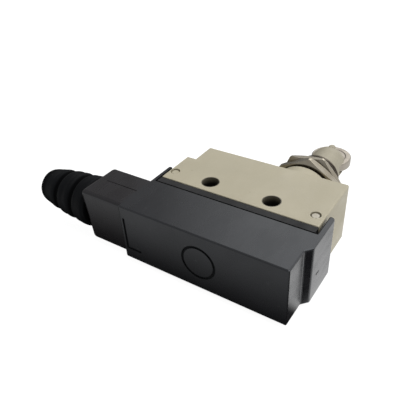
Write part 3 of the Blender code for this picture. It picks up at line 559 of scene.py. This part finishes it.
def make_bush():
    """Threaded bush: a turned outline whose outer wall follows r = R - depth * w, where w is a
    rounded zigzag of (height / pitch - angle / turn), faded out at both ends of the thread."""
    low, high = (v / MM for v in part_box("threaded_bush"))
    top, bottom = high.y, low.y
    outer = (high.x - low.x) / 2.0
    shoulder = NUT_BOTTOM / MM - NUT_UP
    wall = np.linspace(top - THREAD_TOP, shoulder + 0.2, 150)
    outside = np.stack([np.full(len(wall), outer), wall], 1)
    ends = [(PLAIN_R, shoulder), (PLAIN_R, bottom), (CHAMBER_R, bottom),
            (CHAMBER_R, top - CHAMBER_DEEP), (GUIDE_R, top - CHAMBER_DEEP), (GUIDE_R, top - SEAL_DEEP),
            (SEAL_R, top - SEAL_DEEP), (SEAL_R, top - SEAL_TOP), (GUIDE_R, top - SEAL_TOP),
            (GUIDE_R, top - WELL_DEEP), (WELL_R, top - WELL_DEEP), (WELL_R, top - 0.3),
            (WELL_R + 0.3, top), (outer - 0.75, top)]
    outline = np.concatenate([outside, [(outer - 0.4, shoulder)], ends])

    def thread(radius, height, angle):
        turn = (height / PITCH - angle / math.tau) % 1.0
        groove = np.clip(1.25 * (1.0 - np.abs(2.0 * turn - 1.0)) - 0.12, 0.0, 1.0)
        groove = groove * groove * (3.0 - 2.0 * groove)
        fade = np.clip((height - shoulder - 0.2) / 0.8, 0.0, 1.0)
        lead = np.clip((top - height - THREAD_TOP) / 0.5, 0.0, 1.0)
        on_wall = radius > outer - 0.01
        depth = THREAD_DEPTH * groove * fade + 0.45 * (1.0 - lead)
        return np.where(on_wall, radius - depth, radius)

    grid = around(outline, 144, "Y", (HEAD_X / MM, 0.0, MID_Z / MM), thread)
    return skin("bush_threaded", [grid], BUSH_METAL, "frame", ["threaded_bush"], 50.0)


def make_nut(node, name, turn):
    """Lock nut: seen from its axis the wall is R(a) = flats / cos(a from the middle of a flat), and
    the chamfer lowers each face by (R - r) * tan(chamfer) outside the round face of radius r."""
    low, high = (v.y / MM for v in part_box(node))
    steps = 288
    angle = np.linspace(0.0, math.tau, steps, endpoint=False)
    sector = math.tau / 6.0
    from_corner = np.abs((angle - math.radians(turn) + sector / 2.0) % sector - sector / 2.0)
    sharp = NUT_FLAT / np.cos(sector / 2.0 - from_corner)
    wall = sharp - NUT_WEAR * np.exp(-(from_corner / math.radians(1.1)) ** 2)
    slope = math.tan(math.radians(NUT_CHAMFER))
    drop = (wall - NUT_FACE) * slope
    lead = NUT_BORE + NUT_LEAD
    across_face = [np.full(steps, lead + (NUT_FACE - lead) * share) for share in (0.0, 0.35, 0.8, 1.0)]
    down_chamfer = [NUT_FACE + (wall - NUT_FACE) * share for share in (0.1, 0.35, 0.7, 0.96)]
    radii = across_face + down_chamfer
    heights = [np.full(steps, high)] * len(across_face)
    heights += [high - np.maximum(0.0, r - NUT_FACE) * slope for r in down_chamfer]
    for share in (0.06, 0.2, 0.5, 0.8, 0.94):
        radii.append(wall - (0.02 if share in (0.06, 0.94) else 0.0))
        heights.append((high - drop) * (1.0 - share) + (low + drop) * share)
    radii += down_chamfer[::-1] + across_face[::-1]
    heights += [low + np.maximum(0.0, r - NUT_FACE) * slope for r in reversed(down_chamfer)]
    heights += [np.full(steps, low)] * len(across_face)
    for share in np.linspace(0.12, 0.88, 24):
        place = low + (high - low) * share
        groove = 1.0 - np.abs(2.0 * ((place / PITCH - angle / math.tau) % 1.0) - 1.0)
        radii.append(NUT_BORE + NUT_THREAD * groove)
        heights.append(np.full(steps, place))
    radius, height = np.stack(radii, 1), np.stack(heights, 1)
    grid = np.stack([HEAD_X / MM + radius * np.sin(angle)[:, None], height,
                     MID_Z / MM + radius * np.cos(angle)[:, None]], -1)
    return skin(name, [grid], NUT_METAL, "frame", [node], 24.0)


def make_boot():
    """Cable boot: a smooth curve through the rib and groove radii, turned round the cable axis, with a
    plain bore. The outside swells by 0.03 sin(3 a + 0.35 h) + 0.02 sin(7 a - 0.8 h) millimetres."""
    low, high = (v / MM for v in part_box("cable_boot"))
    centre = (high.x, (low.y + high.y) / 2.0, (low.z + high.z) / 2.0)
    outside = smooth_line(BOOT_OUTSIDE, 170)
    outside[:, 1] *= -1.0
    length = high.x - low.x
    inside = np.array([(BOOT_BORE + 0.4, -length), (BOOT_BORE, 0.4 - length), (BOOT_BORE, -SOCKET_DEEP),
                       (SOCKET_R, -SOCKET_DEEP), (SOCKET_R, 0.0)])
    outline = np.concatenate([outside, inside])

    def moulded(radius, height, angle):
        wave = 0.03 * np.sin(3.0 * angle + 0.35 * height) + 0.02 * np.sin(7.0 * angle - 0.8 * height)
        return radius + np.where(radius > 5.0, wave - 0.05, 0.0)

    grid = around(outline, 160, "X", centre, moulded)
    return skin("boot_ribbed", [grid], BOOT_RUBBER, "cover", ["cable_boot"], 60.0)


def make_roller():
    """Roller: a crowned ring, r = R - crown * (height / half)^2, with rounded rims and a dished side."""
    low, high = (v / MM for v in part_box("roller"))
    half = (high.z - low.z) / 2.0
    radius = (high.x - low.x) / 2.0
    centre = ((low.x + high.x) / 2.0, (low.y + high.y) / 2.0, (low.z + high.z) / 2.0)
    height = np.linspace(half - 0.35, 0.35 - half, 13)
    tread = np.stack([radius - 0.06 * (height / half) ** 2, height], 1)
    side = [(radius - 0.45, half), (radius - 2.2, half), (radius - 2.5, half - 0.25), (3.4, half - 0.25),
            (3.1, half), (1.75, half)]
    outline = np.concatenate([tread, [(r, -h) for r, h in side], [(r, h) for r, h in reversed(side)]])
    grid = around(rounded(outline, 0.14, 4), 160, "Z", centre)
    return skin("roller_crowned", [grid], ROLLER_STEEL, "roller", ["roller"], 50.0)


def make_coil(node, name, body, wire, turns):
    """Compression spring: a round wire of radius w bent along a helix, p(t) = (R sin a, low + w +
    (height - 2 w) t, R cos a) with a = turns * t, its ends drawn in to a point."""
    low, high = (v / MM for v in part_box(node))
    radius = (high.x - low.x) / 2.0 - wire
    count = int(turns * 48)
    share = np.linspace(0.0, 1.0, count)[:, None]
    angle = math.tau * turns * share
    thick = wire * np.clip(np.minimum(share, 1.0 - share) * count / 1.5, 0.0, 1.0) ** 0.5
    turn = np.linspace(0.0, math.tau, 16, endpoint=False)[None, :]
    out = radius + thick * np.cos(turn)
    y = low.y + wire + (high.y - low.y - 2.0 * wire) * share + thick * np.sin(turn)
    grid = np.stack([HEAD_X / MM + out * np.sin(angle), y, MID_Z / MM + out * np.cos(angle)], -1)
    obj = skin(name, [grid], SPRING_WIRE, body, [node], 60.0, loop=False)
    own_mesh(obj)
    return obj


make_coil("return_spring", "return_coil", "frame", 0.4, 3.5)
make_coil("overtravel_spring", "overtravel_coil", "button", 0.3, 4.0)
make_bush()
make_nut("lock_nut_inner", "nut_inner_chamfered", 3.0)
make_nut("lock_nut_outer", "nut_outer_chamfered", 21.0)
make_boot()
make_roller()


# ---- studio --------------------------------------------------------------
VIEW_RIGHT = (0.82888882, 0.5565285, -0.05673934)
VIEW_UP = (-0.27956417, 0.4999499, 0.81969139)
VIEW_PLACE = (73.05887, -124.8771, 121.00165)    # millimetres
VIEW_LENS = 43.265
# soft patches of the surround: direction, where each starts and is full, and its change in level
SURROUND = (((-0.10, 0.72, 0.68), 0.86, 0.985, 1.50),
            ((-0.81, 0.51, 0.30), 0.50, 0.98, -0.52),
            ((0.41, -0.66, 0.63), 0.86, 0.97, -0.36))


def make_camera():
    """The viewpoint: right and up vectors of the view, its place, and its lens."""
    right, up = Vector(VIEW_RIGHT), Vector(VIEW_UP)
    back = right.cross(up)
    data = bpy.data.cameras.new("view_camera")
    data.lens = VIEW_LENS
    data.sensor_width = 36.0
    data.clip_start = 0.01
    data.clip_end = 50.0
    cam = bpy.data.objects.new("view_camera", data)
    turn = Matrix((right, up, back)).transposed()
    place = Vector(VIEW_PLACE) * MM
    cam.matrix_world = Matrix.Translation(place) @ turn.to_4x4()
    bpy.context.scene.collection.objects.link(cam)
    bpy.context.scene.camera = cam


def make_floor():
    """A pale sheet just under the lowest nut corner; what it mirrors into the part fades to the front."""
    mesh = bpy.data.meshes.new("floor_sheet")
    reach = 3.0
    low = cad_box[0].z - 0.0002
    corners = [(-reach, -reach, low), (reach, -reach, low), (reach, reach, low), (-reach, reach, low)]
    mesh.from_pydata(corners, [], [(0, 1, 2, 3)])
    floor = bpy.data.objects.new("floor_sheet", mesh)
    bpy.context.scene.collection.objects.link(floor)
    mat = bpy.data.materials.new("pale_paper")
    mat.use_nodes = True
    plan = Plan(mat.node_tree)
    shader = mat.node_tree.nodes["Principled BSDF"]
    where = plan.put("ShaderNodeTexCoord").outputs["Object"]
    fibre = plan.noise(where, 900.0, 4.0, 0.6)
    plan.feed(shader.inputs["Base Color"],
              plan.blend(plan.ramp(fibre, 0.3, 0.7), (0.15, 0.15, 0.15, 1.0), (0.18, 0.18, 0.18, 1.0)))
    shader.inputs["Roughness"].default_value = 0.9
    # the sheet glows, except for a painted shadow under the part's footprint
    spot = plan.put("ShaderNodeSeparateXYZ", Vector=where)
    off_middle = plan.math("ABSOLUTE", plan.math("SUBTRACT", spot.outputs["X"], 0.0006))
    inside_x = plan.ramp(off_middle, 0.031, 0.026)
    inside_y = plan.ramp(plan.math("ABSOLUTE", plan.math("ADD", spot.outputs["Y"], 0.003)), 0.0245, 0.020)
    lit = plan.math("SUBTRACT", 1.0, plan.math("MULTIPLY", inside_x, inside_y))
    bright = plan.blend(lit, (0.0, 0.0, 0.0, 1.0), (0.95, 0.95, 0.95, 1.0))
    plan.feed(shader.inputs["Emission Color"], bright)
    shader.inputs["Emission Strength"].default_value = 1.0
    # what the part's faces see of the sheet: dim close in front, bright past the right end and behind
    front = plan.ramp(spot.outputs["Y"], -0.056, -0.029, 0.66, 0.03)
    beside = plan.math("SUBTRACT", spot.outputs["Y"], plan.math("MULTIPLY", spot.outputs["X"], 0.3))
    right = plan.math("MULTIPLY", plan.ramp(spot.outputs["X"], 0.030, 0.036),
                      plan.ramp(beside, -0.0315, -0.0265))
    behind = plan.math("MULTIPLY", plan.ramp(spot.outputs["Y"], -0.010, 0.030),
                       plan.ramp(spot.outputs["X"], -0.045, -0.005))
    light = plan.between(plan.between(front, 1.15, right), 1.0, behind)
    glow = plan.put("ShaderNodeEmission", Strength=light)
    rays = plan.put("ShaderNodeLightPath").outputs["Is Camera Ray"]
    mix = plan.tree.nodes.new("ShaderNodeMixShader")
    plan.feed(mix.inputs[0], rays)
    plan.feed(mix.inputs[1], glow.outputs[0])
    plan.feed(mix.inputs[2], shader.outputs[0])
    plan.feed(mat.node_tree.nodes["Material Output"].inputs["Surface"], mix.outputs[0])
    mesh.materials.append(mat)


def soft_light(name, place, aim, size, power):
    data = bpy.data.lights.new(name, "AREA")
    data.shape = "SQUARE"
    data.size = size
    data.energy = power
    lamp = bpy.data.objects.new(name, data)
    lamp.location = place
    lamp.rotation_mode = "QUATERNION"
    lamp.rotation_quaternion = (Vector(aim) - Vector(place)).to_track_quat("-Z", "Y")
    bpy.context.scene.collection.objects.link(lamp)
    lamp.visible_camera = False


def make_world():
    """Soft surround: brighter behind than in front, with one bright and two dim patches."""
    world = bpy.data.worlds.new("soft_surround")
    world.use_nodes = True
    plan = Plan(world.node_tree)
    way = plan.put("ShaderNodeTexCoord").outputs["Generated"]
    part = plan.put("ShaderNodeSeparateXYZ", Vector=way)
    light = plan.ramp(part.outputs["Y"], -0.5, 0.3, 0.45, 0.80)
    for aim, start_at, full_at, change in SURROUND:
        facing = plan.tree.nodes.new("ShaderNodeVectorMath")
        facing.operation = "DOT_PRODUCT"
        plan.feed(facing.inputs[0], way)
        plan.feed(facing.inputs[1], aim)
        light = plan.math("ADD", light, plan.ramp(facing.outputs["Value"], start_at, full_at, 0.0, change))
    rays = plan.put("ShaderNodeLightPath").outputs["Is Camera Ray"]
    level = plan.math("MAXIMUM", light, rays)
    shade = world.node_tree.nodes["Background"]
    shade.inputs["Color"].default_value = (1.0, 1.0, 1.0, 1.0)
    plan.feed(shade.inputs["Strength"], level)
    bpy.context.scene.world = world


make_camera()
make_floor()
make_world()
soft_light("overhead_panel", (0.38, 0.06, 0.88), (0.0, 0.0, 0.0), 0.8, 4.9)
bpy.context.scene.view_settings.view_transform = "Standard"
